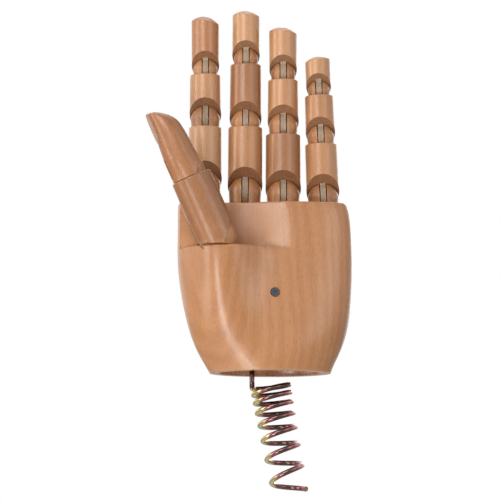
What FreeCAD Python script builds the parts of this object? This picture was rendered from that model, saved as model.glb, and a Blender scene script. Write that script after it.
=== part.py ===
"""Jointed wooden display hand, a left hand with its palm to the front.

Millimetres. +Z runs up through the fingers, the palm faces -Y and the thumb is on the -X side.
The origin is the middle of the wrist's flat rim.
"""

import FreeCAD
import Part
import Sketcher

import math
import os

Vector = FreeCAD.Vector
Placement = FreeCAD.Placement
Rotation = FreeCAD.Rotation
X_AXIS = Vector(1, 0, 0)
Y_AXIS = Vector(0, 1, 0)
Z_AXIS = Vector(0, 0, 1)
ORIGIN = Vector(0, 0, 0)

# ---------------------------------------------------------------------------------------------
# Driving dimensions
# ---------------------------------------------------------------------------------------------

COMMON_SIZES = {
    # the joint that every segment shares: a turned head, a slot, a tongue and a cross pin
    "cup_wall": 0.45,           # wood left round the cup at the height of the pin
    "cup_clearance": 0.25,      # air between a head and the cup that turns over it
    "skirt_gap": 0.35,          # air between a segment's lowest edge and the shoulder below
    "head_taper": 0.35,         # how much a head narrows from its pin down to its shoulder
    "slot_width": 4.0,
    "slot_clearance": 0.35,     # air under the tongue's round end
    "tongue_thickness": 3.0,
    "tongue_inset": 0.5,        # the tongue's round end lies this far inside the head's surface
    "tail_front": 4.0,          # the tongue's tail, forward of the pin
    "tail_foot": 3.0,           # where the tail leaves the cup
    "tail_top": 12.5,           # where the tail ends in its mortise
    "tail_recess": 0.7,         # the tail ends this far below the back of the finger
    "pin_radius": 1.25,
    "pin_clearance": 0.05,      # running fit of the pin in the tongue
    "pin_recess": 0.5,          # a pin ends this far inside the head's surface
    "spot_face_margin": 0.1,    # the flat seat of a slanted knuckle head, beyond the head's side
    "dowel_radius": 4.2,
    "knuckle_dowel": 14.0,
    "middle_dowel": 12.5,
    "tip_dowel": 9.5,
    "shoulder_round": 0.9,
    "rim_round": 1.1,
    # slanted cut that lets a segment fold towards the palm
    "cut_slope": 43.0,
    "knuckle_rise": 4.0,        # the cut passes this far above the pin
    "middle_rise": 3.1,
    "tip_rise": 2.5,
    # palm
    "palm_height": 91.5,
    "finger_depth": 3.0,        # the fingers stand this far behind the middle of the wrist
    "palm_edge_round": 1.4,
    "mound_x": -28.0,           # crest of the mound under the thumb
    "mound_width": 20.0,
    "shelf_height": 66.5,       # the thumb stands on this shelf
    "shelf_wall": -10.8,        # front face of the palm behind the thumb
    "shelf_bend_x": -18.0,      # from here the wall swings forward until it meets the palm's front
    "shelf_bend_reach": 10.0,
    "shelf_end_x": 14.0,
    "shelf_end_y": -18.9,
    "shelf_top_end_y": -17.0,   # the same at the palm's top, where the palm is thinner
    "shelf_end_reach": 12.0,
    # wrist socket
    "socket_half_width": 27.0,
    "socket_half_depth": 16.5,
    "socket_height": 15.0,
    "bore_radius": 14.0,
    "bore_height": 52.0,
    "bore_x": 1.2,
    # cross screw that the spring hangs on
    "screw_x": 3.0,
    "screw_height": 41.6,
    "screw_radius": 1.6,
    "screw_head_radius": 2.3,
    "screw_head_height": 1.8,
    "screw_head_sink": 0.35,
    "screw_mouth_clearance": 0.4,
    "screw_end": 15.4,          # the point ends this far behind the middle of the wrist
    "screw_point": 3.0,
    "screw_recess_width": 0.7,
    "screw_recess_length": 2.6,
    "screw_recess_depth": 1.0,
    # wrist spring
    "wire_radius": 1.4,
    "coil_radius": 9.95,
    "coil_narrowing": 1.1,      # the stretched last turn is this much narrower
    "coil_x": 0.4,              # middle of the first turn
    "coil_drop": 6.2,           # first turn below the rim
    "coil_lean": 10.5,
    "coil_turns": 7.4,
    "first_pitch": 3.3,
    "pitch_growth": 1.23,      # each turn's pitch against the one above it
    "spring_bend": 3.0,
    "hook_gap": 0.3,
    "hook_sweep": 145.0,
    # thumb
    "thumb_x": -28.0,
    "thumb_depth": -25.5,
    "thumb_drop": 3.9,          # from the thumb's lower pin down to the shelf
    "thumb_twist": 12.0,
    "thumb_lean": 24.0,
    "thumb_cut_slope": 50.0,
    "thumb_lower_rise": -3.8,
    "thumb_tip_rise": -4.6,
    "thumb_lower_base_radius": 11.4,
    "thumb_lower_top_radius": 10.9,
    "thumb_lower_span": 39.4,   # from the lower pin to the upper pin
    "thumb_tip_drop": 3.9,
    "thumb_tip_base_radius": 9.6,
    "thumb_lower_tail_foot": 2.5,
    "thumb_lower_tail_top": 12.0,
    "thumb_tip_tail_foot": -1.5,
    "thumb_tip_tail_top": 9.5,
    "nail_half_width": 4.0,
    "nail_half_length": 8.9,
    "nail_height": 27.2,        # from the upper pin to the middle of the nail
    "nail_back": 8.95,
    "nail_thickness": 2.4,
    "nail_square": 2.8,
}

# One finger each: how far its knuckle pin lies above the palm, how long each segment is from pin
# to pin, how far a pin lies above the shoulder that its head stands on, the radii of its three
# turned segments, and the dome at its end.
FINGER_SIZES = {
    "index": {
        "x": -34.7, "lean": 0.0, "knuckle_lift": 11.0,
        "proximal_span": 36.0, "middle_span": 27.2, "tip_span": 29.4,
        "middle_drop": 4.3, "tip_drop": 2.8,
        "proximal_base_radius": 8.95, "proximal_top_radius": 8.9,
        "middle_base_radius": 8.65, "middle_top_radius": 8.3,
        "tip_base_radius": 7.4, "tip_top_radius": 7.6,
        "dome_radius": 10.2, "dome_shift": -1.0,
    },
    "middle": {
        "x": -13.2, "lean": 0.4, "knuckle_lift": 7.2,
        "proximal_span": 37.6, "middle_span": 35.2, "tip_span": 26.7,
        "middle_drop": 2.2, "tip_drop": 3.0,
        "proximal_base_radius": 9.45, "proximal_top_radius": 9.3,
        "middle_base_radius": 8.7, "middle_top_radius": 8.4,
        "tip_base_radius": 7.45, "tip_top_radius": 7.4,
        "dome_radius": 11.2, "dome_shift": -0.4,
    },
    "ring": {
        "x": 7.5, "lean": 0.0, "knuckle_lift": 5.3,
        "proximal_span": 37.9, "middle_span": 28.9, "tip_span": 25.6,
        "middle_drop": 4.6, "tip_drop": 3.6,
        "proximal_base_radius": 9.65, "proximal_top_radius": 9.45,
        "middle_base_radius": 8.5, "middle_top_radius": 8.2,
        "tip_base_radius": 7.4, "tip_top_radius": 7.65,
        "dome_radius": 11.5, "dome_shift": -0.9,
    },
    "little": {
        "x": 29.1, "lean": -2.2, "knuckle_lift": 3.9,
        "proximal_span": 33.2, "middle_span": 25.7, "tip_span": 18.9,
        "middle_drop": 3.7, "tip_drop": 2.8,
        "proximal_base_radius": 9.0, "proximal_top_radius": 8.65,
        "middle_base_radius": 8.05, "middle_top_radius": 7.7,
        "tip_base_radius": 6.7, "tip_top_radius": 6.8,
        "dome_radius": 11.2, "dome_shift": 1.0,
    },
}

# Outline of the palm at each height, from the rim or down from the top: how far it reaches to the
# left, right, front and back, how far the thumb's mound stands out in front of it, and how square
# its corners are.
PALM_SECTIONS = [
    {"height": 0.0, "left": 32.2, "right": 33.0, "front": 22.0, "back": 21.5, "mound": 0.0, "square": 2.0},
    {"height": 12.0, "left": 39.0, "right": 38.2, "front": 23.2, "back": 20.5, "mound": 2.5, "square": 2.1},
    {"height": 28.0, "left": 44.6, "right": 42.8, "front": 22.4, "back": 19.0, "mound": 7.5, "square": 2.3},
    {"height": 45.0, "left": 48.0, "right": 44.6, "front": 20.6, "back": 17.8, "mound": 12.5, "square": 2.5},
    {"below_top": 31.5, "left": 49.5, "right": 45.0, "front": 19.2, "back": 16.8, "mound": 16.5, "square": 2.7},
    {"below_top": 19.5, "left": 49.6, "right": 44.7, "front": 18.2, "back": 16.2, "mound": 18.5, "square": 2.9},
    {"below_top": 8.5, "left": 49.5, "right": 43.9, "front": 17.2, "back": 15.7, "mound": 18.5, "square": 3.0},
    {"below_top": 0.0, "left": 49.3, "right": 41.6, "front": 16.0, "back": 15.0, "mound": 18.5, "square": 3.0},
]

# The thumb's last segment, from its pin up: the centre of each section towards the back of the
# thumb, its half depth and its half width.
THUMB_TIP_SECTIONS = [
    {"height": -4.0, "centre": 0.1, "depth": 10.0, "width": 10.0},
    {"height": 5.0, "centre": 0.75, "depth": 9.25, "width": 9.8},
    {"height": 11.0, "centre": 1.05, "depth": 8.8, "width": 9.4},
    {"height": 17.0, "centre": 1.1, "depth": 8.3, "width": 8.9},
    {"height": 23.0, "centre": 1.3, "depth": 7.7, "width": 8.2},
    {"height": 28.0, "centre": 1.9, "depth": 6.8, "width": 7.2},
    {"height": 31.5, "centre": 3.2, "depth": 5.25, "width": 6.0},
    {"height": 34.0, "centre": 4.8, "depth": 3.4, "width": 4.6},
    {"height": 35.6, "centre": 6.3, "depth": 1.6, "width": 2.8},
]

SECTION_POINTS = 24

doc = FreeCAD.newDocument("JointedHand")
sheet = doc.addObject("Spreadsheet::Sheet", "Sizes")


def fill_sheet():
    """Write every driving dimension to its own named cell."""
    sizes = dict(COMMON_SIZES)
    for finger, values in FINGER_SIZES.items():
        for name, value in values.items():
            sizes[f"{finger}_{name}"] = value
    for number, section in enumerate(PALM_SECTIONS):
        for name, value in section.items():
            sizes[f"palm_{name}_{number}"] = value
    for number, section in enumerate(THUMB_TIP_SECTIONS):
        for name, value in section.items():
            sizes[f"thumb_tip_{name}_{number}"] = value
    for row, (name, value) in enumerate(sizes.items(), start=1):
        sheet.set(f"A{row}", name)
        sheet.set(f"B{row}", str(value))
        sheet.setAlias(f"B{row}", name)
    doc.recompute()


def size(name):
    """The value of one named cell."""
    return float(getattr(sheet, name))


def value_of(expression):
    """The value of an expression on the sheet's cells."""
    return float(sheet.evalExpression(expression))


# ---------------------------------------------------------------------------------------------
# Helpers for features
# ---------------------------------------------------------------------------------------------


def new_body(name):
    body = doc.addObject("PartDesign::Body", name)
    body.Label = name
    return body


def origin_plane(body, role):
    return next(item for item in body.Origin.OriginFeatures if item.Role == role)


def primitive(body, kind, name, sizes, place=None, rotation=None):
    """Add a PartDesign primitive whose sizes and place are expressions on the sheet."""
    feature = body.newObject(f"PartDesign::{kind}", f"{body.Name}_{name}")
    for key, expression in sizes.items():
        feature.setExpression(key, expression)
    if rotation is not None:
        feature.Placement = Placement(ORIGIN, rotation)
    for axis, expression in (place or {}).items():
        feature.setExpression(f"Placement.Base.{axis}", expression)
    return feature


def polygon_sketch(body, name, role, corners):
    """A closed outline on one of the body's own planes, each corner an expression pair."""
    sketch = body.newObject("Sketcher::SketchObject", f"{body.Name}_{name}")
    sketch.AttachmentSupport = [(origin_plane(body, role), "")]
    sketch.MapMode = "FlatFace"
    points = [Vector(value_of(u), value_of(v), 0) for u, v in corners]
    count = len(points)
    for number in range(count):
        sketch.addGeometry(Part.LineSegment(points[number], points[(number + 1) % count]), False)
    for number in range(count):
        sketch.addConstraint(Sketcher.Constraint("Coincident", number, 2, (number + 1) % count, 1))
    for number, expressions in enumerate(corners):
        values = (points[number].x, points[number].y)
        for kind, expression, value in zip(("DistanceX", "DistanceY"), expressions, values):
            index = sketch.addConstraint(Sketcher.Constraint(kind, -1, 1, number, 1, value))
            sketch.setExpression(f"Constraints[{index}]", expression)
    return sketch


def oval_points(half_width, half_depth, power):
    """Points round an oval; a power of one is an ellipse and a lower power squares its corners."""
    points = []
    for step in range(SECTION_POINTS):
        turn = 2 * math.pi * step / SECTION_POINTS
        cosine, sine = math.cos(turn), math.sin(turn)
        x = half_width * math.copysign(abs(cosine) ** power, cosine)
        y = half_depth * math.copysign(abs(sine) ** power, sine)
        points.append(Vector(x, y, 0))
    return points


def add_closed_curve(sketch, points):
    """Add one smooth closed curve through the points."""
    curve = Part.BSplineCurve()
    curve.interpolate(Points=points, PeriodicFlag=True)
    sketch.addGeometry(curve, False)


def through_pocket(body, name, sketch):
    """Cut a sketch's outline right through, to both sides of its plane."""
    pocket = body.newObject("PartDesign::Pocket", f"{body.Name}_{name}")
    pocket.Profile = sketch
    pocket.Type = "ThroughAll"
    pocket.Midplane = True
    sketch.Visibility = False
    return pocket


def side_cylinder(body, kind, name, radius, length, height="0"):
    """A cylinder along the hinge pin, centred on the segment's middle plane."""
    return primitive(
        body, kind, name,
        {"Radius": radius, "Height": length},
        {"x": f"-({length}) / 2", "z": height},
        Rotation(Y_AXIS, 90),
    )


def middle_box(body, kind, name, width, front, back, foot, top):
    """A box centred on the segment's middle plane, between named depths and heights."""
    return primitive(
        body, kind, name,
        {"Length": width, "Width": f"({back}) - ({front})", "Height": f"({top}) - ({foot})"},
        {"x": f"-({width}) / 2", "y": front, "z": foot},
    )


def upright_cylinder(body, kind, name, radius, foot, top, angle=None):
    sizes = {"Radius": radius, "Height": f"({top}) - ({foot})"}
    return primitive(body, kind, name, sizes, {"z": foot}, angle)


def round_edges(body, name, radius, wanted):
    """Round those edges of the body's last feature that the test accepts."""
    doc.recompute()
    base = body.Tip
    edges = [f"Edge{n}" for n, edge in enumerate(base.Shape.Edges, start=1) if wanted(edge)]
    fillet = body.newObject("PartDesign::Fillet", f"{body.Name}_{name}")
    fillet.Base = (base, edges)
    fillet.setExpression("Radius", radius)
    return fillet


# ---------------------------------------------------------------------------------------------
# One hinge
# ---------------------------------------------------------------------------------------------


class Hinge:
    """The sizes of one hinge, as expressions, and where its pin is.

    A hinge's own frame has its pin along X, the lower shoulder below and the palm to the front.
    """

    def __init__(
        self, name, radius, drop, rise, slope, dowel, head_place, upper_place, floor_lean="0", side_lean="0",
    ):
        self.name = name
        self.radius = radius
        self.drop = drop
        self.rise = rise
        self.slope = slope
        self.dowel = dowel
        self.floor_lean = floor_lean
        self.side_lean = side_lean
        self.head_place = head_place
        self.upper_place = upper_place
        self.cup = f"({radius} - Sizes.cup_wall)"
        self.head = f"({radius} - Sizes.cup_wall - Sizes.cup_clearance)"
        self.disc = f"({self.head} - Sizes.tongue_inset)"
        self.relief = f"({self.disc} + Sizes.slot_clearance)"
        self.pin_length = f"(2 * ({self.head} - Sizes.pin_recess))"


def build_head(name, hinge):
    """The turned head with its dowel, its slot for the tongue and its bore for the pin."""
    body = new_body(name)
    if hinge.floor_lean == "0":
        foot_radius, top_radius, dome_start = f"{hinge.head} - Sizes.head_taper", hinge.head, "0"
    else:
        foot_radius = f"sqrt({hinge.head} ^ 2 - {hinge.drop} ^ 2)"
        top_radius, dome_start = foot_radius, f"-asin({hinge.drop} / {hinge.head})"
    primitive(
        body, "AdditiveCone", "neck",
        {"Radius1": foot_radius, "Radius2": f"{top_radius} - 0.001", "Height": hinge.drop},
        {"z": f"-({hinge.drop})"},
    )
    dome = primitive(body, "AdditiveSphere", "dome", {"Radius": hinge.head, "Angle1": dome_start})
    dome.Angle2 = 90
    upright_cylinder(
        body, "AdditiveCylinder", "dowel", "Sizes.dowel_radius",
        f"-({hinge.drop}) - ({hinge.dowel})", f"-({hinge.drop})",
    )
    reach = f"({hinge.head} + Sizes.slot_width)"
    floor = f"-min({hinge.drop}; {hinge.relief})"
    middle_box(body, "SubtractiveBox", "slot", "Sizes.slot_width", f"-{reach}", reach, floor, reach)
    side_cylinder(body, "SubtractiveCylinder", "slot_end", hinge.relief, "Sizes.slot_width")
    side_cylinder(body, "SubtractiveCylinder", "pin_bore", "Sizes.pin_radius", f"2 * {reach}")
    body.Placement = hinge.head_place
    return body


def build_tongue(name, hinge, foot="Sizes.tail_foot", top="Sizes.tail_top"):
    """The flat tongue: a round end that turns in the slot and a tail let into the segment."""
    body = new_body(name)
    side_cylinder(body, "AdditiveCylinder", "round_end", hinge.disc, "Sizes.tongue_thickness")
    middle_box(
        body, "AdditiveBox", "tail", "Sizes.tongue_thickness",
        "-Sizes.tail_front", f"{hinge.radius} - Sizes.tail_recess", foot, top,
    )
    bore = "Sizes.pin_radius + Sizes.pin_clearance"
    side_cylinder(body, "SubtractiveCylinder", "pin_hole", bore, "2 * Sizes.tongue_thickness")
    body.Placement = hinge.upper_place
    return body


def build_pin(name, hinge):
    """The steel cross pin, shorter than the head is wide."""
    pin = doc.addObject("Part::Cylinder", name)
    pin.Label = name
    pin.setExpression("Radius", "Sizes.pin_radius")
    pin.setExpression("Height", hinge.pin_length)
    half = value_of(hinge.pin_length) / 2
    pin.Placement = hinge.head_place.multiply(Placement(Vector(-half, 0, 0), Rotation(Y_AXIS, 90)))
    return pin


def cut_lower_end(body, hinge, tail_foot, tail_top):
    """Hollow the cup, slant the end so that the segment can fold, and cut the tongue's mortise."""
    reach = f"(3 * {hinge.radius})"
    side_lift = f"{hinge.radius} * tan(abs({hinge.side_lean}))"
    floor = f"((Sizes.skirt_gap + {side_lift} - {hinge.drop}) / cos({hinge.floor_lean}))"
    floor_slope = f"tan({hinge.floor_lean})"
    cut_slope = f"tan({hinge.slope})"
    corner = f"(({hinge.rise} - {floor}) / ({cut_slope} + {floor_slope}))"
    primitive(body, "SubtractiveSphere", "cup", {"Radius": hinge.cup})
    upright_cylinder(body, "SubtractiveCylinder", "cup_skirt", hinge.cup, f"-{reach}", "0")
    outline = polygon_sketch(
        body, "end_outline", "YZ_Plane",
        [
            (f"-{reach}", f"{hinge.rise} + {reach} * {cut_slope}"),
            (corner, f"{hinge.rise} - {corner} * {cut_slope}"),
            (reach, f"{floor} + {reach} * {floor_slope}"),
            (reach, f"-2 * {reach}"),
            (f"-{reach}", f"-2 * {reach}"),
        ],
    )
    through_pocket(body, "end_cut", outline)
    middle_box(
        body, "SubtractiveBox", "mortise", "Sizes.tongue_thickness",
        "-Sizes.tail_front", f"2 * {hinge.radius}", tail_foot, tail_top,
    )


def seat_head(body, hinge, height, place=None):
    """Bore a dowel hole and the slot's round end for the head that stands on this piece."""
    place = place or Placement()
    base = place.Base
    drop = value_of(hinge.drop)
    dowel = body.newObject("PartDesign::SubtractiveCylinder", f"{body.Name}_{hinge.name}_dowel_hole")
    dowel.setExpression("Radius", "Sizes.dowel_radius")
    dowel.setExpression("Height", f"{hinge.dowel} + {hinge.drop}")
    axis = place.Rotation.multVec(Z_AXIS)
    depth = drop + value_of(hinge.dowel)
    dowel.Placement = Placement(base + Vector(0, 0, height) - axis * depth, place.Rotation)
    if hinge.side_lean != "0":
        seat = body.newObject("PartDesign::SubtractiveCylinder", f"{body.Name}_{hinge.name}_spot_face")
        seat.setExpression("Radius", f"{hinge.head} + Sizes.spot_face_margin")
        seat.setExpression("Height", hinge.drop)
        seat.Placement = Placement(base + Vector(0, 0, height) - axis * drop, place.Rotation)
    if value_of(hinge.relief) > drop:
        half = size("slot_width") / 2
        relief = body.newObject("PartDesign::SubtractiveCylinder", f"{body.Name}_{hinge.name}_relief")
        relief.setExpression("Radius", hinge.relief)
        relief.setExpression("Height", "Sizes.slot_width")
        across = place.Rotation.multVec(X_AXIS)
        turned = place.Rotation.multiply(Rotation(Y_AXIS, 90))
        relief.Placement = Placement(base + Vector(0, 0, height) - across * half, turned)


def is_ring(edge, height, radius):
    """True for a closed circle of this radius at this height."""
    box = edge.BoundBox
    level = abs(box.ZMin - height) < 0.01 and abs(box.ZMax - height) < 0.01
    return level and abs(box.XMax - radius) < 0.05 and abs(box.XMin + radius) < 0.05


# ---------------------------------------------------------------------------------------------
# Segments
# ---------------------------------------------------------------------------------------------


def build_segment(name, lower, upper, span, base_radius, top_radius, tail=("Sizes.tail_foot", "Sizes.tail_top")):
    """A turned segment between two hinges, with its cup below and its head's seat above."""
    body = new_body(name)
    foot = f"-({lower.drop})" if lower.floor_lean == "0" else f"-({lower.radius})"
    top = f"({span} - {upper.drop})"
    primitive(
        body, "AdditiveCone", "blank",
        {"Radius1": base_radius, "Radius2": top_radius, "Height": f"{top} - ({foot})"},
        {"z": foot},
    )
    height, radius = value_of(top), value_of(top_radius)
    round_edges(body, "shoulder", "Sizes.shoulder_round", lambda edge: is_ring(edge, height, radius))
    cut_lower_end(body, lower, *tail)
    seat_head(body, upper, value_of(span))
    body.Placement = lower.upper_place
    return body


def build_fingertip(finger, lower):
    """The last segment of a finger, with a low dome whose crown lies a little to one side."""
    name = f"{finger}_tip_segment"
    cell = f"Sizes.{finger}"
    body = new_body(f"{finger}_tip_blank")
    foot = f"-({lower.drop})"
    primitive(
        body, "AdditiveCone", "blank",
        {
            "Radius1": f"{cell}_tip_base_radius",
            "Radius2": f"{cell}_tip_top_radius",
            "Height": f"{cell}_tip_span - ({foot})",
        },
        {"z": foot},
    )
    cut_lower_end(body, lower, "Sizes.tail_foot", "Sizes.tail_top")
    centre = f"({cell}_tip_span - {cell}_dome_radius)"
    ball = doc.addObject("Part::Sphere", f"{finger}_dome_ball")
    ball.setExpression("Radius", f"{cell}_dome_radius")
    block = doc.addObject("Part::Cylinder", f"{finger}_dome_block")
    block.setExpression("Radius", f"2 * {cell}_dome_radius")
    block.setExpression("Height", f"2 * {cell}_dome_radius")
    for item in (ball, block):
        item.setExpression("Placement.Base.x", f"{cell}_dome_shift")
        item.setExpression("Placement.Base.z", centre)
    waste = doc.addObject("Part::Cut", f"{finger}_dome_waste")
    waste.Base = block
    waste.Tool = ball
    domed = doc.addObject("Part::Cut", f"{finger}_domed")
    domed.Base = body
    domed.Tool = waste
    doc.recompute()
    level = value_of(centre)
    rims = [n for n, edge in enumerate(domed.Shape.Edges, start=1) if edge.BoundBox.ZMin > level]
    tip = doc.addObject("Part::Fillet", name)
    tip.Base = domed
    tip.Edges = [(n, size("rim_round"), size("rim_round")) for n in rims]
    tip.Label = name
    tip.Placement = lower.upper_place
    return tip


def build_thumb_tip(lower, tail):
    """The thumb's last segment: round at its foot, narrowing towards the nail."""
    body = new_body("thumb_tip_segment")
    sketches = []
    for number in range(len(THUMB_TIP_SECTIONS)):
        cell = f"thumb_tip_%s_{number}"
        sketch = body.newObject("Sketcher::SketchObject", f"thumb_tip_outline_{number}")
        sketch.AttachmentSupport = [(origin_plane(body, "XY_Plane"), "")]
        sketch.MapMode = "FlatFace"
        sketch.setExpression("AttachmentOffset.Base.z", f"Sizes.{cell % 'height'}")
        sketch.setExpression("AttachmentOffset.Base.y", f"Sizes.{cell % 'centre'}")
        add_closed_curve(sketch, oval_points(size(cell % "width"), size(cell % "depth"), 1))
        sketch.Visibility = False
        sketches.append(sketch)
    loft = body.newObject("PartDesign::AdditiveLoft", "thumb_tip_loft")
    loft.Profile = sketches[0]
    loft.Sections = sketches[1:]
    nail = body.newObject("Sketcher::SketchObject", "thumb_nail_outline")
    nail.AttachmentSupport = [(origin_plane(body, "XZ_Plane"), "")]
    nail.MapMode = "FlatFace"
    nail.setExpression("AttachmentOffset.Base.y", "Sizes.nail_height")
    nail.setExpression("AttachmentOffset.Base.z", "-Sizes.nail_back")
    power = 2 / size("nail_square")
    add_closed_curve(nail, oval_points(size("nail_half_width"), size("nail_half_length"), power))
    pad = body.newObject("PartDesign::Pad", "thumb_nail")
    pad.Profile = nail
    pad.setExpression("Length", "Sizes.nail_thickness")
    nail.Visibility = False
    cut_lower_end(body, lower, *tail)
    body.Placement = lower.upper_place
    return body


# ---------------------------------------------------------------------------------------------
# Palm, wrist screw and spring
# ---------------------------------------------------------------------------------------------


def palm_section_points(number):
    """The palm's outline at one height: a squared oval with the thumb's mound in front."""
    left, right = size(f"palm_left_{number}"), size(f"palm_right_{number}")
    front, back = size(f"palm_front_{number}"), size(f"palm_back_{number}")
    mound, power = size(f"palm_mound_{number}"), 2 / size(f"palm_square_{number}")
    middle_x, middle_y = (right - left) / 2, (back - front) / 2
    half_width, half_depth = (right + left) / 2, (back + front) / 2
    points = []
    for point in oval_points(half_width, half_depth, power):
        x, y = middle_x + point.x, point.y
        if y < 0:
            offset = (x - size("mound_x")) / size("mound_width")
            y *= 1 + mound / half_depth * math.exp(-offset * offset)
        points.append(Vector(x, middle_y + y, 0))
    return points


def shelf_outline(body, name, height, end_y):
    """What is cut away above the thumb's shelf: a flat wall that swings forward into the palm's front."""
    far, wall = 2 * size("palm_height"), size("shelf_wall")
    bend = Vector(size("shelf_bend_x"), wall, 0)
    end = Vector(size("shelf_end_x"), size(end_y), 0)
    swing = Part.BezierCurve()
    swing.setPoles([
        bend, bend + Vector(size("shelf_bend_reach"), 0, 0), end - Vector(size("shelf_end_reach"), 0, 0), end,
    ])
    corners = [end, Vector(end.x, -far, 0), Vector(-far, -far, 0), Vector(-far, wall, 0), bend]
    sketch = body.newObject("Sketcher::SketchObject", f"{body.Name}_{name}")
    sketch.AttachmentSupport = [(origin_plane(body, "XY_Plane"), "")]
    sketch.MapMode = "FlatFace"
    sketch.setExpression("AttachmentOffset.Base.z", height)
    sketch.addGeometry(swing.toBSpline(), False)
    for start, stop in zip(corners, corners[1:]):
        sketch.addGeometry(Part.LineSegment(start, stop), False)
    sketch.Visibility = False
    return sketch


def build_palm(knuckles, thumb):
    body = new_body("palm")
    sketches = []
    for number, section in enumerate(PALM_SECTIONS):
        sketch = body.newObject("Sketcher::SketchObject", f"palm_outline_{number}")
        sketch.AttachmentSupport = [(origin_plane(body, "XY_Plane"), "")]
        sketch.MapMode = "FlatFace"
        height = f"Sizes.palm_height_{number}"
        if "below_top" in section:
            height = f"Sizes.palm_height - Sizes.palm_below_top_{number}"
        sketch.setExpression("AttachmentOffset.Base.z", height)
        add_closed_curve(sketch, palm_section_points(number))
        sketch.Visibility = False
        sketches.append(sketch)
    loft = body.newObject("PartDesign::AdditiveLoft", "palm_block")
    loft.Profile = sketches[0]
    loft.Sections = sketches[1:]
    doc.recompute()
    front = front_of(loft.Shape, size("screw_x"), size("screw_height"))

    before = loft.Shape.Volume
    shelf = shelf_outline(body, "shelf_outline", "Sizes.shelf_height", "shelf_end_y")
    above = shelf_outline(
        body, "shelf_top_outline", "Sizes.palm_height + Sizes.palm_edge_round", "shelf_top_end_y",
    )
    cut = body.newObject("PartDesign::SubtractiveLoft", "palm_shelf")
    cut.Profile = shelf
    cut.Sections = [above]
    cut.Ruled = True
    doc.recompute()
    print(f"shelf removes {before - cut.Shape.Volume:.0f} mm3")

    top = size("palm_height")
    level = size("shelf_height")
    wall = size("shelf_wall")

    def outer_edge(edge):
        box = edge.BoundBox
        flat = box.ZMax - box.ZMin < 0.01
        at_top = flat and abs(box.ZMax - top) < 0.01
        in_front = box.YMin < wall - size("palm_edge_round") and edge.Length > 3 * size("mound_width")
        return at_top or (in_front and flat and abs(box.ZMax - level) < 0.01)

    round_edges(body, "edge_round", "Sizes.palm_edge_round", outer_edge)
    primitive(
        body, "SubtractiveEllipsoid", "socket",
        {
            "Radius1": "Sizes.socket_height",
            "Radius2": "Sizes.socket_half_width",
            "Radius3": "Sizes.socket_half_depth",
        },
    )
    bore = upright_cylinder(
        body, "SubtractiveCylinder", "spring_bore", "Sizes.bore_radius", "0", "Sizes.bore_height",
    )
    bore.setExpression("Placement.Base.x", "Sizes.bore_x")
    along = Rotation(X_AXIS, -90)
    shank = primitive(
        body, "SubtractiveCylinder", "screw_hole",
        {"Radius": "Sizes.screw_radius", "Height": f"Sizes.screw_end - ({front})"},
        {"x": "Sizes.screw_x", "z": "Sizes.screw_height"}, along,
    )
    shank.Placement.Base.y = front
    mouth = "Sizes.screw_head_radius + Sizes.screw_mouth_clearance"
    seat = primitive(
        body, "SubtractiveCone", "screw_seat",
        {
            "Radius1": mouth,
            "Radius2": "Sizes.screw_radius",
            "Height": "Sizes.screw_head_height",
        },
        {"x": "Sizes.screw_x", "z": "Sizes.screw_height"}, along,
    )
    seat.Placement.Base.y = front + size("screw_head_sink")
    entry = primitive(
        body, "SubtractiveCylinder", "screw_entry",
        {"Radius": mouth, "Height": "Sizes.screw_head_sink + 2 * Sizes.screw_radius"},
        {"x": "Sizes.screw_x", "z": "Sizes.screw_height"}, along,
    )
    entry.Placement.Base.y = front - 2 * size("screw_radius")
    for hinge in knuckles:
        seat_head(body, hinge, 0, hinge.head_place)
    seat_head(body, thumb, 0, thumb.head_place)
    return body, front


def front_of(shape, x, height):
    """How far forward the shape's surface is at this place."""
    probe = Part.makeLine(Vector(x, -size("palm_height"), height), Vector(x, 0, height))
    return min(vertex.Y for vertex in shape.common(probe).Vertexes)


def build_screw(front):
    """The countersunk cross screw, driven from the palm through the bore into the back wall."""
    body = new_body("anchor_screw")
    length = f"(Sizes.screw_end - ({front}) - Sizes.screw_head_sink)"
    primitive(
        body, "AdditiveCylinder", "shank",
        {
            "Radius": "Sizes.screw_radius",
            "Height": f"{length} - Sizes.screw_head_height - Sizes.screw_point",
        },
        {"z": "Sizes.screw_head_height"},
    )
    primitive(
        body, "AdditiveCone", "point",
        {"Radius1": "Sizes.screw_radius", "Radius2": "Sizes.screw_radius / 4", "Height": "Sizes.screw_point"},
        {"z": f"{length} - Sizes.screw_point"},
    )
    primitive(
        body, "AdditiveCone", "head",
        {
            "Radius1": "Sizes.screw_head_radius",
            "Radius2": "Sizes.screw_radius",
            "Height": "Sizes.screw_head_height",
        },
    )
    for name, long_side, short_side in (
        ("recess_across", "Sizes.screw_recess_length", "Sizes.screw_recess_width"),
        ("recess_along", "Sizes.screw_recess_width", "Sizes.screw_recess_length"),
    ):
        primitive(
            body, "SubtractiveBox", name,
            {"Length": long_side, "Width": short_side, "Height": "Sizes.screw_recess_depth"},
            {"x": f"-{long_side} / 2", "y": f"-{short_side} / 2"},
        )
    start = Vector(size("screw_x"), front + size("screw_head_sink"), size("screw_height"))
    body.Placement = Placement(start, Rotation(X_AXIS, -90))
    return body


def arc_with_tangent(start, heading, end):
    """The arc from start to end that leaves start along heading, and its heading at the end."""
    chord = end - start
    along = Vector(chord)
    along.normalize()
    angle = heading.getAngle(along)
    if angle < 1e-6:
        return Part.LineSegment(start, end)
    side = heading - along * heading.dot(along)
    side.normalize()
    sagitta = chord.Length / 2 * math.tan(angle / 2)
    return Part.Arc(start, (start + end) * 0.5 + side * sagitta, end)


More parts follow.
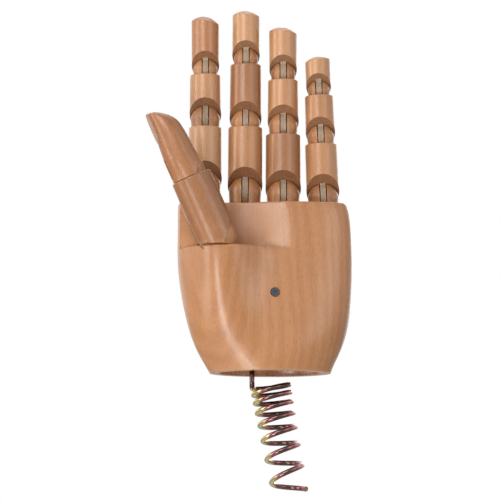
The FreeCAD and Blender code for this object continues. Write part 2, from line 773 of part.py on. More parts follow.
def biarc(start, start_heading, end, end_heading):
    """Two arcs that join two points smoothly."""
    span = end - start
    both = start_heading + end_heading
    a = both.dot(both) - 4
    b = span.dot(both)
    reach = (b - math.sqrt(b * b - a * span.dot(span))) / a
    knee_one = start + start_heading * reach
    knee_two = end - end_heading * reach
    middle = (knee_one + knee_two) * 0.5
    heading = knee_two - knee_one
    heading.normalize()
    return [arc_with_tangent(start, start_heading, middle), arc_with_tangent(middle, heading, end)]


def spring_path():
    """The wire's path: the hook over the screw, the straight tail, the bend and the turns."""
    lean = math.radians(size("coil_lean"))
    side = Vector(math.cos(lean), 0, math.sin(lean))
    down = Vector(math.sin(lean), 0, -math.cos(lean))
    centre = Vector(size("coil_x"), 0, -size("coil_drop"))
    radius = size("coil_radius")
    growth = size("pitch_growth")
    scale = size("first_pitch") / math.log(growth)

    narrowing = size("coil_narrowing") / size("coil_turns") ** 2

    def coil_point(turns):
        angle = math.pi - 2 * math.pi * turns
        here = radius - narrowing * turns**2
        across = side * (here * math.cos(angle)) + Y_AXIS * (here * math.sin(angle))
        return centre + across + down * (scale * (growth**turns - 1))

    def coil_heading(turns):
        angle = math.pi - 2 * math.pi * turns
        across = side * math.sin(angle) - Y_AXIS * math.cos(angle)
        pitch = size("first_pitch") * growth**turns
        heading = across * (2 * math.pi * radius) + down * pitch
        heading.normalize()
        return heading

    bend = size("spring_bend")
    start = coil_point(0)
    first = coil_heading(0)
    rise = Vector(0, 0, 1)
    bend_top = start - first * bend + rise * bend
    tail_x = bend_top.x
    hook_radius = size("screw_x") - tail_x
    over = size("screw_radius") + size("wire_radius") + size("hook_gap")
    hook_height = size("screw_height") + over - hook_radius
    hook_centre = Vector(size("screw_x"), bend_top.y, hook_height)

    def hook_point(degrees):
        turn = math.radians(180 - degrees)
        return hook_centre + Vector(math.cos(turn), 0, math.sin(turn)) * hook_radius

    sweep = size("hook_sweep")
    edges = [
        Part.Arc(hook_point(sweep), hook_point(sweep / 2), hook_point(0)),
        Part.LineSegment(hook_point(0), bend_top),
        arc_with_tangent(bend_top, Vector(0, 0, -1), start),
    ]
    turns = size("coil_turns")
    stretches = math.ceil(turns * 4)
    for stretch in range(stretches):
        here, there = turns * stretch / stretches, turns * (stretch + 1) / stretches
        edges += biarc(coil_point(here), coil_heading(here), coil_point(there), coil_heading(there))
    end = coil_point(turns)
    heading = coil_heading(turns)
    edges.append(Part.LineSegment(end, end + heading * (2 * size("wire_radius"))))
    return Part.Wire([edge.toShape() for edge in edges])


def least_gap(path, diameter):
    """The least air between stretches of the wire that aren't neighbours along it."""
    step = diameter / 4
    points = path.discretize(Distance=step)
    skip = int(2.2 * diameter / step)
    least = math.inf
    for number, point in enumerate(points):
        for other in points[number + skip:]:
            least = min(least, point.distanceToPoint(other))
    return least - diameter


def build_spring():
    """The wrist spring: one unbroken wire from the hook to its free end."""
    path = spring_path()
    radius = size("wire_radius")
    first = path.Edges[0]
    heading = first.tangentAt(first.FirstParameter)
    profile = Part.Wire(Part.makeCircle(radius, path.Vertexes[0].Point, heading))
    spring = doc.addObject("Part::Feature", "wrist_spring")
    spring.Label = "wrist_spring"
    spring.Shape = path.makePipeShell([profile], True, False)
    spring.Placement = Placement()
    print(f"spring: {path.Length:.1f} mm of wire")
    print(f"spring: least gap to itself {least_gap(path, 2 * radius):.2f} mm")
    print(f"spring: volume {spring.Shape.Volume:.0f}, section x length {math.pi * radius**2 * path.Length:.0f}")
    return spring


# ---------------------------------------------------------------------------------------------
# The whole hand
# ---------------------------------------------------------------------------------------------


def finger_hinges(finger):
    """The three hinges of one finger, from the knuckle to the tip."""
    lean = Rotation(Y_AXIS, size(f"{finger}_lean"))
    base = Vector(
        size(f"{finger}_x"), size("finger_depth"), size("palm_height") + size(f"{finger}_knuckle_lift"),
    )
    cell = f"Sizes.{finger}"
    drops = [
        f"{cell}_knuckle_lift",
        f"{cell}_middle_drop",
        f"{cell}_tip_drop",
    ]
    heights = [
        0,
        size(f"{finger}_proximal_span"),
        size(f"{finger}_proximal_span") + size(f"{finger}_middle_span"),
    ]
    hinges = []
    for name, drop, radius, height in zip(
        ("knuckle", "middle", "tip"), drops, ("proximal", "middle", "tip"), heights
    ):
        place = Placement(base + lean.multVec(Vector(0, 0, height)), lean)
        hinges.append(
            Hinge(
                f"{finger}_{name}", f"{cell}_{radius}_base_radius", drop, f"Sizes.{name}_rise",
                "Sizes.cut_slope", f"Sizes.{name}_dowel", place, place,
                side_lean=f"{cell}_lean" if name == "knuckle" and size(f"{finger}_lean") else "0",
            )
        )
    return hinges


def thumb_hinges():
    """The thumb's two hinges: the lower one stands upright on the shelf, the thumb leans in it."""
    turn = Rotation(Z_AXIS, 90 + size("thumb_twist"))
    lean = turn.multiply(Rotation(X_AXIS, -size("thumb_lean")))
    base = Vector(size("thumb_x"), size("thumb_depth"), size("shelf_height") + size("thumb_drop"))
    upper = Placement(base + lean.multVec(Vector(0, 0, size("thumb_lower_span"))), lean)
    lower_hinge = Hinge(
        "thumb_lower", "Sizes.thumb_lower_base_radius", "Sizes.thumb_drop", "Sizes.thumb_lower_rise",
        "Sizes.thumb_cut_slope", "Sizes.knuckle_dowel", Placement(base, turn), Placement(base, lean),
        "Sizes.thumb_lean",
    )
    tip_hinge = Hinge(
        "thumb_tip", "Sizes.thumb_tip_base_radius", "Sizes.thumb_tip_drop", "Sizes.thumb_tip_rise",
        "Sizes.thumb_cut_slope", "Sizes.middle_dowel", upper, upper,
    )
    return lower_hinge, tip_hinge


def build_finger(finger):
    """One finger: three segments, two heads, three tongues and two pins."""
    cell = f"Sizes.{finger}"
    knuckle, middle, tip = finger_hinges(finger)
    pieces = [
        build_segment(
            f"{finger}_proximal_segment", knuckle, middle, f"{cell}_proximal_span",
            f"{cell}_proximal_base_radius", f"{cell}_proximal_top_radius",
        ),
        build_segment(
            f"{finger}_middle_segment", middle, tip, f"{cell}_middle_span",
            f"{cell}_middle_base_radius", f"{cell}_middle_top_radius",
        ),
        build_fingertip(finger, tip),
        build_head(f"{finger}_middle_head", middle),
        build_head(f"{finger}_tip_head", tip),
        build_tongue(f"{finger}_knuckle_tongue", knuckle),
        build_tongue(f"{finger}_middle_tongue", middle),
        build_tongue(f"{finger}_tip_tongue", tip),
        build_pin(f"{finger}_middle_pin", middle),
        build_pin(f"{finger}_tip_pin", tip),
    ]
    return knuckle, pieces


def build_thumb():
    """The thumb: two segments, their tongues, the head between them and its pin."""
    lower, tip = thumb_hinges()
    lower_tail = ("Sizes.thumb_lower_tail_foot", "Sizes.thumb_lower_tail_top")
    tip_tail = ("Sizes.thumb_tip_tail_foot", "Sizes.thumb_tip_tail_top")
    pieces = [
        build_segment(
            "thumb_lower_segment", lower, tip, "Sizes.thumb_lower_span",
            "Sizes.thumb_lower_base_radius", "Sizes.thumb_lower_top_radius", lower_tail,
        ),
        build_thumb_tip(tip, tip_tail),
        build_head("thumb_tip_head", tip),
        build_tongue("thumb_base_tongue", lower, *lower_tail),
        build_tongue("thumb_tip_tongue", tip, *tip_tail),
        build_pin("thumb_tip_pin", tip),
    ]
    return lower, pieces


def build_hand():
    pieces = []
    knuckles = []
    for finger in FINGER_SIZES:
        knuckle, finger_pieces = build_finger(finger)
        knuckles.append(knuckle)
        pieces += finger_pieces
    thumb, thumb_pieces = build_thumb()
    pieces += thumb_pieces
    palm, front = build_palm(knuckles, thumb)
    pieces += [palm, build_screw(front), build_spring()]
    for finger, knuckle in zip(FINGER_SIZES, knuckles):
        pieces.append(build_head(f"{finger}_knuckle_head", knuckle))
    pieces.append(build_head("thumb_base_head", thumb))
    pins = doc.addObject("Part::Compound", "knuckle_pins")
    pins.Label = "knuckle_pins"
    pins.Links = [build_pin(f"{hinge.name}_pin_blank", hinge) for hinge in knuckles + [thumb]]
    pieces.append(pins)
    doc.recompute()
    return pieces


def check_and_write(pieces):
    """Stop on any failed object or shape, then write each piece to its own file."""
    for item in doc.Objects:
        if "Invalid" in item.State or "Error" in item.State:
            raise RuntimeError(f"{item.Name} did not compute: {item.State}")
    for piece in pieces:
        if piece.Shape.isNull() or not piece.Shape.isValid():
            raise RuntimeError(f"{piece.Label} has no valid shape")
        if piece.Label != "knuckle_pins" and len(piece.Shape.Solids) != 1:
            raise RuntimeError(f"{piece.Label} is {len(piece.Shape.Solids)} solids")
    os.makedirs("parts", exist_ok=True)
    for piece in pieces:
        piece.Shape.exportStep(f"parts/{piece.Label}.step")
    print(f"{len(pieces)} pieces written")


fill_sheet()
check_and_write(build_hand())
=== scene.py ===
import math

import bpy
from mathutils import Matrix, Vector

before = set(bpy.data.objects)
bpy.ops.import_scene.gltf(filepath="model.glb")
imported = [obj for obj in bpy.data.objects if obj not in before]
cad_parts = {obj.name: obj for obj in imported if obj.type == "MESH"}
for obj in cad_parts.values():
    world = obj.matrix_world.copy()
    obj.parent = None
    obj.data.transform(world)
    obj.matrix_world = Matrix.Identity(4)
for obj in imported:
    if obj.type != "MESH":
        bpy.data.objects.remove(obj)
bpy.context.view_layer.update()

bl_info = {
    "name": "Jointed wooden hand",
    "version": (1, 0, 0),
    "blender": (4, 5, 0),
    "location": "3D View > Sidebar > Wooden hand",
    "description": "Finishes the pieces of a jointed wooden display hand and sets its studio",
    "category": "Object",
}

MILLIMETRE = 0.001

# The wrist spring's coil, in millimetres and degrees
COIL_X = 0.4
COIL_DROP = 6.2
COIL_LEAN = 10.5
COIL_RADIUS = 10.0
# Below the coil's top, the film's colours go by its side as seen from the camera, gold at the left and rose at the
# right, which is painted sheen: from where that starts to where it is full
COIL_BLEND = (1.2, 2.6)


# ---------------------------------------------------------------------------------------------
# Shader maths
# ---------------------------------------------------------------------------------------------


class Signal:
    """One value in a material, so that maths on it reads as a plain expression."""

    def __init__(self, finish, socket):
        self.finish = finish
        self.socket = socket

    def maths(self, operation, *values):
        return self.finish.node("ShaderNodeMath", {"operation": operation}, dict(enumerate(values)))

    def __add__(self, other):
        return self.maths("ADD", self, other)

    __radd__ = __add__

    def __mul__(self, other):
        return self.maths("MULTIPLY", self, other)

    __rmul__ = __mul__

    def __sub__(self, other):
        return self.maths("SUBTRACT", self, other)

    def __rsub__(self, other):
        return self.maths("SUBTRACT", other, self)

    def __truediv__(self, other):
        return self.maths("DIVIDE", self, other)

    def __pow__(self, other):
        return self.maths("POWER", self, other)

    def sine(self):
        return self.maths("SINE", self)

    def part(self, name):
        """One of a vector's X, Y and Z."""
        return self.finish.node("ShaderNodeSeparateXYZ", {}, {"Vector": self}, name)


# A Mix node's sockets share names, so they go by number: factor, first, second, and the result
MIX_VECTORS = (0, 4, 5, 1)
MIX_COLOURS = (0, 6, 7, 2)


class Finish:
    """A material, or the world, while its nodes are being made."""

    def __init__(self, owner):
        owner.use_nodes = True
        self.owner = owner
        self.tree = owner.node_tree
        self.tree.nodes.clear()

    @classmethod
    def of_material(cls, name):
        return cls(bpy.data.materials.new(name))

    def node(self, kind, settings, values, output=0):
        """Add a node: its settings first, then the values or links of its sockets."""
        node = self.tree.nodes.new(kind)
        for name, value in settings.items():
            if name == "stops":
                self.set_stops(node.color_ramp, value)
            else:
                setattr(node, name, value)
        for name, value in values.items():
            self.feed(node.inputs[name], value)
        return Signal(self, node.outputs[output])

    def set_stops(self, ramp, stops):
        while len(ramp.elements) < len(stops):
            ramp.elements.new(0.5)
        for element, (place, colour) in zip(ramp.elements, stops):
            element.position = place
            element.color = (*colour, 1.0)

    def feed(self, socket, value):
        if isinstance(value, Signal):
            self.tree.links.new(value.socket, socket)
        elif hasattr(socket.default_value, "__len__") and len(socket.default_value) == 4:
            socket.default_value = (*value[:3], 1.0)
        else:
            socket.default_value = value

    def place(self, turn=(0, 0, 0), stretch=(1, 1, 1), shift=(0, 0, 0)):
        """The piece's own position in millimetres, turned and stretched."""
        own = self.node("ShaderNodeTexCoord", {}, {}, "Object")
        turned = self.node(
            "ShaderNodeMapping", {"vector_type": "POINT"}, {"Vector": own, "Rotation": turn},
        )
        scale = [value / MILLIMETRE for value in stretch]
        return self.node(
            "ShaderNodeMapping", {"vector_type": "POINT"},
            {"Vector": turned, "Scale": scale, "Location": shift},
        )

    def noise(self, place, scale, detail=3.0, roughness=0.55):
        return self.node(
            "ShaderNodeTexNoise", {"noise_dimensions": "3D"},
            {"Vector": place, "Scale": scale, "Detail": detail, "Roughness": roughness},
            "Fac",
        )

    def steps(self, value, low, high, start=0.0, end=1.0):
        """A value eased from start to end as it goes from low to high."""
        return self.node(
            "ShaderNodeMapRange", {"interpolation_type": "SMOOTHSTEP"},
            {"Value": value, "From Min": low, "From Max": high, "To Min": start, "To Max": end},
        )

    def mix(self, kind, sockets, amount, first, second):
        factor, start, end, result = sockets
        return self.node("ShaderNodeMix", {"data_type": kind}, {factor: amount, start: first, end: second}, result)

    def blend(self, amount, first, second):
        """Two colours mixed by an amount."""
        return self.mix("RGBA", MIX_COLOURS, amount, first, second)

    def bump(self, height, strength, distance, under=None):
        values = {"Height": height, "Strength": strength, "Distance": distance}
        if under is not None:
            values["Normal"] = under
        return self.node("ShaderNodeBump", {}, values, "Normal")

    def eased(self, mask, radius):
        """The surface's direction, with edges eased to this radius in metres where the mask is 1."""
        own = self.node("ShaderNodeNewGeometry", {}, {}, "Normal")
        eased = self.node("ShaderNodeBevel", {"samples": 12}, {"Radius": radius}, "Normal")
        mixed = self.mix("VECTOR", MIX_VECTORS, mask, own, eased)
        return self.node("ShaderNodeVectorMath", {"operation": "NORMALIZE"}, {0: mixed})

    def surface(self, values):
        shader = self.node("ShaderNodeBsdfPrincipled", {}, values, "BSDF")
        return self.finished(shader, "ShaderNodeOutputMaterial")

    def finished(self, shader, kind):
        output = self.tree.nodes.new(kind)
        self.tree.links.new(shader.socket, output.inputs["Surface"])
        return self.owner


def shade(colour, factor):
    """A colour made lighter or darker."""
    return tuple(min(1.0, channel * factor) for channel in colour[:3])


def warmed(colour, warmth):
    """A colour made redder where warmth is above 1, by taking green and more blue away."""
    factors = (1.0, 1.0 / warmth, 0.98 / warmth**2)
    return tuple(channel * factor for channel, factor in zip(colour, factors))


# ---------------------------------------------------------------------------------------------
# Sizes and colours that a user would change
# ---------------------------------------------------------------------------------------------


def colour_setting(name, description, default):
    return bpy.props.FloatVectorProperty(
        name=name, description=description, default=default, size=3, min=0, max=1, subtype="COLOR",
    )


class WoodSettings(bpy.types.PropertyGroup):
    pale: colour_setting("Pale wood", "Colour of the early wood", (0.535, 0.262, 0.115))
    dark: colour_setting("Late wood", "Colour of the late wood and fibres", (0.242, 0.080, 0.021))
    tongue: colour_setting("Tongue", "Colour of the flat tongues", (0.43, 0.305, 0.205))
    bore: colour_setting("Bore", "Colour of the bare end grain inside the wrist", (0.50, 0.215, 0.080))
    # Cut face: painted shade for the slanted faces over the joints, which look down
    cut: colour_setting("Cut face", "Colour of the slanted faces over the joints", (0.235, 0.108, 0.055))
    fibre_width: bpy.props.FloatProperty(
        name="Fibre width", description="Width of one wood fibre, in millimetres",
        default=0.55, min=0.2, max=5.0,
    )
    gloss: bpy.props.FloatProperty(
        name="Lacquer", description="How much lacquer lies on the wood", default=0.5, min=0, max=1, subtype="FACTOR",
    )


# The gold, rose and violet tints go on the coil's sides as painted sheen; the brown lies on its front and back
class SpringSettings(bpy.types.PropertyGroup):
    gold: colour_setting("Gold film", "Brightest tint of the zinc film and painted sheen", (0.80, 0.66, 0.27))
    rose: colour_setting("Rose film", "Pink tint of the zinc film and painted sheen", (0.50, 0.23, 0.24))
    violet: colour_setting("Violet film", "Deep tint of the zinc film and painted sheen", (0.24, 0.07, 0.08))
    brown: colour_setting("Brown film", "Darkest tint of the zinc film and painted sheen", (0.085, 0.033, 0.026))


class StudioSettings(bpy.types.PropertyGroup):
    distance: bpy.props.FloatProperty(
        name="Camera distance", description="From the camera to the hand", default=2.4, unit="LENGTH",
    )
    rise: bpy.props.FloatProperty(
        name="Camera elevation", description="Angle above the horizon", default=math.radians(-7), subtype="ANGLE",
    )
    pixel: bpy.props.FloatProperty(
        name="Pixel size", description="What one picture point covers at the hand", default=0.00054, precision=5,
        unit="LENGTH",
    )
    floor_drop: bpy.props.FloatProperty(
        name="Floor drop", description="From the wrist rim down to the floor", default=0.65, unit="LENGTH",
    )
    floor: colour_setting("Floor", "Colour of the floor", (0.82, 0.82, 0.82))


# ---------------------------------------------------------------------------------------------
# Wood
# ---------------------------------------------------------------------------------------------


def wood(name, settings, tone=0.5, warmth=1.0, seed=0.0, turn=(0, 0, 0), bare=0.0, streaks=0.5, cut=None,
         ease=None):
    """Turned hardwood: fine long fibres, faint bands of late wood, short pores and a satin lacquer, with a painted
    highlight on sharp edges and painted shade in creases.

    tone runs from 0, pale, to 1, dark; warmth above 1 is redder; bare is 1 where there is no lacquer.
    cut gives the mask and colour of bare cut faces: bare end grain in the wrist's hollow, and painted shade on
    slanted faces that look down; ease the mask and radius of a hand-sanded edge.
    """
    finish = Finish.of_material(name)
    shift = (seed * 3.7, seed * 5.3, seed * 11.9)
    along = finish.place(turn, (1, 1, 0.03), shift)
    wide = finish.place(turn, (1, 1, 0.012), shift)
    short = finish.place(turn, (1, 1, 0.16), shift)
    even = finish.place(turn, (1, 1, 1), shift)

    fibres = finish.noise(along, 0.62 / settings.fibre_width, detail=5, roughness=0.62)
    hairs = finish.noise(along, 2.2 / settings.fibre_width, detail=2, roughness=0.7)
    bands = finish.noise(wide, 0.07, detail=2, roughness=0.45)
    clouds = finish.noise(even, 0.045, detail=3, roughness=0.6)
    pores = finish.steps(finish.noise(short, 2.6, detail=1, roughness=0.5), 0.62, 0.74)
    flecks = finish.noise(finish.place(turn, (1, 1, 0.3), shift), 1.3, detail=3, roughness=0.75)

    rings = ((wide.part("X") * 0.8 + wide.part("Y") * 1.1 + bands * 9.0).sine() + 1) * 0.5
    late = finish.steps(
        fibres * 0.34 + rings * 0.13 * streaks + bands * 0.22 + clouds * 0.22 + tone - 0.47, 0.0, 1.0,
    )
    pale, dark = warmed(settings.pale, warmth), warmed(settings.dark, warmth)
    colour = finish.blend(late, pale, dark)
    colour = finish.blend(finish.steps(hairs, 0.45, 0.8, 0, 0.16), colour, shade(dark, 0.85))
    colour = finish.blend(pores * 0.3, colour, shade(dark, 0.6))
    colour = finish.blend(finish.steps(flecks, 0.5, 0.8, 0, 0.3), colour, shade(dark, 0.9))
    colour = finish.blend(finish.steps(flecks, 0.48, 0.2, 0, 0.3), colour, shade(pale, 1.2))
    # Painted highlight on sharp outer edges, and painted shade in creases and gaps between parts
    edge = finish.node("ShaderNodeNewGeometry", {}, {}, "Pointiness")
    colour = finish.blend(finish.steps(edge, 0.53, 0.62, 0, 0.45), colour, shade(pale, 1.15))
    colour = finish.blend(finish.steps(edge, 0.47, 0.40, 0, 0.5), colour, shade(dark, 0.55))
    # Cut faces: bare end grain in the wrist's hollow; painted shade on the slanted faces that look down
    if cut is not None:
        mask, stain = cut(finish, settings)
        grain = finish.noise(even, 0.9, detail=4, roughness=0.7)
        cut_grain_and_shade = finish.blend(finish.steps(grain, 0.3, 0.7), shade(stain, 1.2), shade(stain, 0.55))
        colour = finish.blend(mask, colour, cut_grain_and_shade)

    rough = 0.36 + 0.2 * bare + (fibres - 0.5) * 0.12 + pores * 0.12 + (clouds - 0.5) * 0.12
    height = fibres * 0.5 + hairs * 0.3 - pores * 0.7
    under = finish.eased(*ease(finish)) if ease else None
    return finish.surface({
        "Base Color": colour,
        "Roughness": rough,
        "Normal": finish.bump(height, 0.10 + 0.3 * bare, 0.2 * MILLIMETRE, under),
        "Coat Weight": settings.gloss * (1 - bare),
        "Coat Roughness": 0.24,
        "Specular IOR Level": 0.42,
    })


# How far down a face has to look for its painted shade to show, from where it starts to where it is full
CUT_SLOPE = (-0.35, -0.6)
# The most of the painted shade colour that a downward-looking face takes
CUT_SHADE = 0.72

# Where the wall behind the thumb meets the palm's front, in millimetres, from where the easing starts to where it is
# full, on each side of the crease
SWING_LEFT, SWING_RIGHT = (-8.0, 0.0), (26.0, 18.0)
SWING_FRONT = (-11.0, -13.0)
SWING_FOOT, SWING_TOP = (60.0, 66.0), (90.5, 87.0)
SWING_RADIUS = 9.0 * MILLIMETRE

# An oval a little wider than the hollow in the wrist, in millimetres, and how far up the bare wood goes
HOLLOW_HALF_WIDTH, HOLLOW_HALF_DEPTH = 28.0, 17.3
HOLLOW_EDGE = (1.0, 0.93)
HOLLOW_TOP = (56.0, 54.0)


def shaded_slanted_cut(finish, settings):
    """The slanted face at a segment's lower end looks steeply down, so it is painted darker as shade."""
    facing = finish.node("ShaderNodeNewGeometry", {}, {}, "Normal")
    return finish.steps(facing.part("Z"), *CUT_SLOPE, 0, CUT_SHADE), settings.cut


def sanded_swing(finish):
    """Softens the shading of the crease where the wall behind the thumb meets the palm's front."""
    place = finish.place()
    across = finish.steps(place.part("X"), *SWING_LEFT) * finish.steps(place.part("X"), *SWING_RIGHT)
    front = finish.steps(place.part("Y"), *SWING_FRONT)
    up = finish.steps(place.part("Z"), *SWING_FOOT) * finish.steps(place.part("Z"), *SWING_TOP)
    return across * front * up, SWING_RADIUS


def hollow_wrist(finish, settings):
    """The hollow and the bore above it, inside the wrist, are bare."""
    place = finish.place()
    across = (place.part("X") / HOLLOW_HALF_WIDTH) ** 2 + (place.part("Y") / HOLLOW_HALF_DEPTH) ** 2
    inside = finish.steps(across, *HOLLOW_EDGE) * finish.steps(place.part("Z"), *HOLLOW_TOP)
    return inside, settings.bore


def paint(node, material):
    """Give one CAD piece its material."""
    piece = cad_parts[node]
    piece.data.materials.clear()
    piece.data.materials.append(material)


class DressPalm(bpy.types.Operator):
    """Finish the carved palm"""

    bl_idname = "wooden_hand.dress_palm"
    bl_label = "Palm"

    def execute(self, context):
        settings = context.scene.hand_wood
        paint("palm", wood("palm wood", settings, tone=0.43, warmth=1.04, seed=2.0, streaks=0.8, cut=hollow_wrist,
                           ease=sanded_swing))
        return {"FINISHED"}


# The tone and warmth of each turned segment, as wood takes them; the index's proximal segment is made paler as
# painted light, against the thumb's shadow on it
SEGMENT_WOODS = {
    "index_tip_segment": (0.54, 1.08),
    "index_middle_segment": (0.33, 1.00),
    # Painted light: made paler to offset the shadow that the thumb casts here
    "index_proximal_segment": (0.10, 0.93),
    "middle_tip_segment": (0.29, 0.97),
    "middle_middle_segment": (0.74, 1.00),
    "middle_proximal_segment": (0.43, 1.02),
    "ring_tip_segment": (0.30, 0.98),
    "ring_middle_segment": (0.33, 1.00),
    "ring_proximal_segment": (0.68, 0.97),
    "little_tip_segment": (0.26, 0.96),
    "little_middle_segment": (0.38, 1.01),
    "little_proximal_segment": (0.34, 1.01),
    "thumb_lower_segment": (0.78, 0.99),
    "thumb_tip_segment": (0.70, 1.03),
}
THUMB_TURN = (0.0, math.radians(24), math.radians(-12))
HEAD_TONE, HEAD_TONE_SPREAD = 0.56, 0.08


def grain_turn(node):
    """The turn that brings a piece's fibres upright."""
    return THUMB_TURN if node.startswith("thumb") else (0.0, 0.0, 0.0)


class DressSegments(bpy.types.Operator):
    """Finish the turned finger and thumb segments"""

    bl_idname = "wooden_hand.dress_segments"
    bl_label = "Segments"

    def execute(self, context):
        settings = context.scene.hand_wood
        for number, (node, (tone, warmth)) in enumerate(SEGMENT_WOODS.items()):
            look = wood(
                f"{node} wood", settings, tone=tone, warmth=warmth, seed=4.1 + 2.3 * number, turn=grain_turn(node),
                cut=shaded_slanted_cut,
            )
            paint(node, look)
        return {"FINISHED"}


class DressHeads(bpy.types.Operator):
    """Finish the slotted heads that the segments turn on"""

    bl_idname = "wooden_hand.dress_heads"
    bl_label = "Heads"

    def execute(self, context):
        settings = context.scene.hand_wood
        heads = [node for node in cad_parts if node.endswith("_head")]
        for number, node in enumerate(sorted(heads)):
            tone = HEAD_TONE + HEAD_TONE_SPREAD * math.sin(2.4 * number)
            look = wood(f"{node} wood", settings, tone, seed=40 + 1.7 * number, turn=grain_turn(node), bare=0.3)
            paint(node, look)
        return {"FINISHED"}


class DressTongues(bpy.types.Operator):
    """Finish the flat tongues that join the segments"""

    bl_idname = "wooden_hand.dress_tongues"
    bl_label = "Tongues"

    def execute(self, context):
        settings = context.scene.hand_wood
        for number, node in enumerate(sorted(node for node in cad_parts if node.endswith("_tongue"))):
            finish = Finish.of_material(f"{node} wood")
            along = finish.place(grain_turn(node), (1, 1, 0.08), (number * 7.7, 3.1, number * 2.9))
            fibres = finish.noise(along, 1.3, detail=4, roughness=0.7)
            stain = finish.noise(finish.place(), 0.3, detail=2)
            colour = finish.blend(finish.steps(fibres, 0.3, 0.75), settings.tongue, shade(settings.tongue, 0.6))
            colour = finish.blend(finish.steps(stain, 0.45, 0.7, 0, 0.4), colour, shade(settings.tongue, 0.5))
            paint(node, finish.surface({
                "Base Color": colour,
                "Roughness": 0.55 + fibres * 0.15,
                "Normal": finish.bump(fibres, 0.35, 0.3 * MILLIMETRE),
                "Specular IOR Level": 0.35,
            }))
        return {"FINISHED"}


# ---------------------------------------------------------------------------------------------
# Metal
# ---------------------------------------------------------------------------------------------


def steel(name, colour, roughness):
    """Plated steel with fine scratches and darker stains."""
    finish = Finish.of_material(name)
    scratches = finish.noise(finish.place(stretch=(1, 0.3, 1)), 4.0, detail=4, roughness=0.7)
    stains = finish.noise(finish.place(), 0.9, detail=3)
    tint = finish.blend(finish.steps(stains, 0.4, 0.7, 0, 0.6), colour, shade(colour, 0.45))
    return finish.surface({
        "Base Color": tint,
        "Metallic": 1.0,
        "Roughness": roughness + (scratches - 0.5) * 0.25,
        "Normal": finish.bump(scratches, 0.15, 0.1 * MILLIMETRE),
    })


class DressPins(bpy.types.Operator):
    """Finish the cross pins and the screw that holds the spring"""

    bl_idname = "wooden_hand.dress_pins"
    bl_label = "Pins and screw"

    def execute(self, context):
        pin_look = steel("pin steel", (0.42, 0.43, 0.46), 0.3)
        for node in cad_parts:
            if node.endswith("_pin") or node == "knuckle_pins":
                paint(node, pin_look)
        paint("anchor_screw", steel("screw steel", (0.10, 0.10, 0.11), 0.3))
        return {"FINISHED"}


class DressSpring(bpy.types.Operator):
    """Finish the zinc-plated wrist spring, with painted sheen on the coil's sides"""

    bl_idname = "wooden_hand.dress_spring"
    bl_label = "Spring"

    def execute(self, context):
        settings = context.scene.hand_spring
        finish = Finish.of_material("zinc film and painted sheen")
        place = finish.place()
        middle = COIL_X + (-COIL_DROP - place.part("Z")) * math.tan(math.radians(COIL_LEAN))
        coiled = finish.steps(place.part("Z"), *(-(COIL_DROP + depth) for depth in COIL_BLEND))
        # Painted sheen: gold on the coil's left and rose on its right, as seen from the camera; drift and patches
        # are the film's own uneven tints
        side = (place.part("X") - middle) / COIL_RADIUS * coiled
        drift = finish.noise(finish.place(stretch=(1, 1, 0.8)), 0.14, detail=2, roughness=0.5)
        patches = finish.noise(finish.place(shift=(20, 4, 7)), 0.5, detail=3, roughness=0.6)
        film_and_side_sheen = side * 0.42 + 0.5 + (drift - 0.5) * 0.3 + (patches - 0.5) * 0.12
        film = finish.node("ShaderNodeValToRGB", {"stops": [
            (0.06, tuple(settings.gold)),
            (0.17, shade(settings.gold, 0.72)),
            (0.27, tuple(settings.violet)),
            (0.42, tuple(settings.brown)),
            (0.66, shade(settings.brown, 1.25)),
            (0.78, shade(settings.violet, 1.1)),
            (0.88, tuple(settings.rose)),
            (0.97, shade(settings.gold, 0.85)),
        ]}, {"Fac": film_and_side_sheen}, "Color")
        scratches = finish.noise(finish.place(), 3.0, detail=4, roughness=0.7)
        paint("wrist_spring", finish.surface({
            "Base Color": film,
            "Metallic": 1.0,
            "Roughness": 0.17 + (scratches - 0.5) * 0.12,
            "Normal": finish.bump(scratches, 0.04, 0.1 * MILLIMETRE),
            "Coat Weight": 0.5,
            "Coat Roughness": 0.08,
            "Coat IOR": 1.7,
        }))
        return {"FINISHED"}


# ---------------------------------------------------------------------------------------------
# Studio
# ---------------------------------------------------------------------------------------------

VIEW_CENTRE = Vector((-0.0105, 0.0, 0.0669))
SENSOR_WIDTH = 36.0
PICTURE_SIZE = 500
FLOOR_SIZE = 16.0
PAPER_GLOW, PAPER_GLOW_SHARE = 1.15, 0.72
SURROUNDINGS_LIGHT, SURROUNDINGS_SEEN = 0.33, 1.0

# Each softbox's place, width and height in metres, and its power in watts. They look at the hand's middle.
LAMP_TARGET = Vector((0.0, 0.0, 0.09))
SOFTBOXES = {
    "key softbox": ((-0.55, -1.25, 0.75), 0.7, 0.9, 11.0),
    "side softbox": ((-1.2, -0.35, 0.2), 0.4, 1.2, 5.6),
    "low strip": ((-0.55, -0.95, -0.38), 0.34, 0.4, 4.4),
    "fill softbox": ((1.05, -1.1, 0.35), 0.8, 1.0, 4.0),
    "top softbox": ((0.0, 0.3, 1.4), 1.0, 0.7, 4.0),
    "back softbox": ((0.5, 1.3, 0.6), 1.0, 1.0, 5.0),
}


def aim(thing, target):
    thing.rotation_euler = (target - thing.location).to_track_quat("-Z", "Y").to_euler()


def softbox(name, place, width, height, power):
    lamp = bpy.data.lights.new(name, "AREA")
    lamp.shape = "RECTANGLE"
    lamp.size = width
    lamp.size_y = height
    lamp.energy = power
    thing = bpy.data.objects.new(name, lamp)
    thing.location = place
    bpy.context.scene.collection.objects.link(thing)
    aim(thing, LAMP_TARGET)


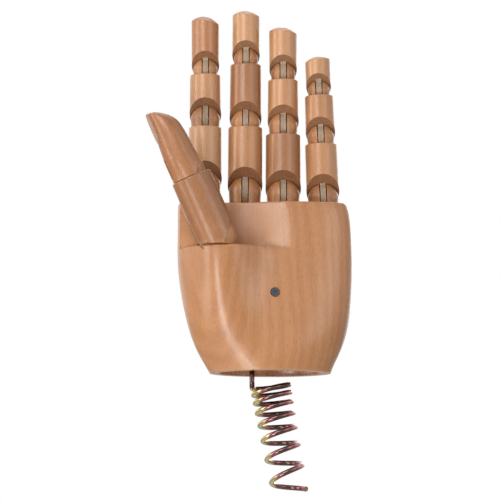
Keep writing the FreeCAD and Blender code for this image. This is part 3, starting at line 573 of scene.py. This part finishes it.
class PlaceStudio(bpy.types.Operator):
    """Set the floor, the softboxes, the white surroundings and the camera"""

    bl_idname = "wooden_hand.place_studio"
    bl_label = "Studio"

    def execute(self, context):
        settings = context.scene.hand_studio
        bpy.ops.mesh.primitive_plane_add(size=FLOOR_SIZE, location=(0, 0, -settings.floor_drop))
        floor = context.object
        floor.name = "studio_floor"
        floor.data.materials.append(self.floor_paper(settings))
        self.light_world(context.scene)
        for name, (place, width, height, power) in SOFTBOXES.items():
            softbox(name, place, width, height, power)
        self.place_camera(context.scene, settings)
        return {"FINISHED"}

    def floor_paper(self, settings):
        """Matt paper that looks nearly white to the camera and still takes the hand's shadow."""
        finish = Finish.of_material("floor paper")
        fibres = finish.noise(finish.place(), 0.02, detail=2)
        colour = finish.blend(fibres * 0.06, settings.floor, shade(settings.floor, 0.9))
        matt = finish.node("ShaderNodeBsdfPrincipled", {}, {"Base Color": colour, "Roughness": 0.9}, "BSDF")
        bright = finish.node("ShaderNodeEmission", {}, {"Color": colour, "Strength": PAPER_GLOW})
        seen = finish.node("ShaderNodeLightPath", {}, {}, "Is Camera Ray")
        paper = finish.node("ShaderNodeMixShader", {}, {0: seen * PAPER_GLOW_SHARE, 1: matt, 2: bright})
        return finish.finished(paper, "ShaderNodeOutputMaterial")

    def light_world(self, scene):
        """White to the camera and in the metal, and dimmer as light on the hand."""
        finish = Finish(bpy.data.worlds.new("white surroundings"))
        seen = finish.node("ShaderNodeLightPath", {}, {}, "Is Camera Ray")
        for ray in ("Is Transmission Ray", "Is Glossy Ray"):
            seen = seen.maths("MAXIMUM", seen, finish.node("ShaderNodeLightPath", {}, {}, ray))
        dim, white = (
            finish.node("ShaderNodeBackground", {}, {"Color": (1, 1, 1), "Strength": strength})
            for strength in (SURROUNDINGS_LIGHT, SURROUNDINGS_SEEN)
        )
        light = finish.node("ShaderNodeMixShader", {}, {0: seen, 1: dim, 2: white})
        scene.world = finish.finished(light, "ShaderNodeOutputWorld")

    def place_camera(self, scene, settings):
        lens = bpy.data.cameras.new("camera")
        lens.sensor_width = SENSOR_WIDTH
        lens.lens = SENSOR_WIDTH * settings.distance / (PICTURE_SIZE * settings.pixel)
        lens.clip_start = 0.05
        lens.clip_end = 20
        camera = bpy.data.objects.new("camera", lens)
        back = Vector((0, -math.cos(settings.rise), math.sin(settings.rise))) * settings.distance
        camera.location = VIEW_CENTRE + back
        scene.collection.objects.link(camera)
        aim(camera, VIEW_CENTRE)
        scene.camera = camera
        scene.view_settings.view_transform = "Standard"


class HandPanel(bpy.types.Panel):
    """Lists the hand's pieces and settings"""

    bl_idname = "VIEW3D_PT_wooden_hand"
    bl_label = "Wooden hand"
    bl_space_type = "VIEW_3D"
    bl_region_type = "UI"
    bl_category = "Wooden hand"

    def draw(self, context):
        layout = self.layout
        for group in ("hand_wood", "hand_spring", "hand_studio"):
            settings = getattr(context.scene, group)
            box = layout.box()
            for name in settings.__annotations__:
                box.prop(settings, name)
        for operator in OPERATORS:
            layout.operator(operator.bl_idname)


SETTINGS = {"hand_wood": WoodSettings, "hand_spring": SpringSettings, "hand_studio": StudioSettings}
OPERATORS = (DressPalm, DressSegments, DressHeads, DressTongues, DressPins, DressSpring, PlaceStudio)


def register():
    for group in SETTINGS.values():
        bpy.utils.register_class(group)
    for name, group in SETTINGS.items():
        setattr(bpy.types.Scene, name, bpy.props.PointerProperty(type=group))
    for operator in OPERATORS:
        bpy.utils.register_class(operator)
    bpy.utils.register_class(HandPanel)


def unregister():
    bpy.utils.unregister_class(HandPanel)
    for operator in reversed(OPERATORS):
        bpy.utils.unregister_class(operator)
    for name, group in reversed(SETTINGS.items()):
        delattr(bpy.types.Scene, name)
        bpy.utils.unregister_class(group)


def main():
    register()
    bpy.ops.wooden_hand.dress_palm()
    bpy.ops.wooden_hand.dress_segments()
    bpy.ops.wooden_hand.dress_heads()
    bpy.ops.wooden_hand.dress_tongues()
    bpy.ops.wooden_hand.dress_pins()
    bpy.ops.wooden_hand.dress_spring()
    bpy.ops.wooden_hand.place_studio()


if __name__ == "__main__":
    main()
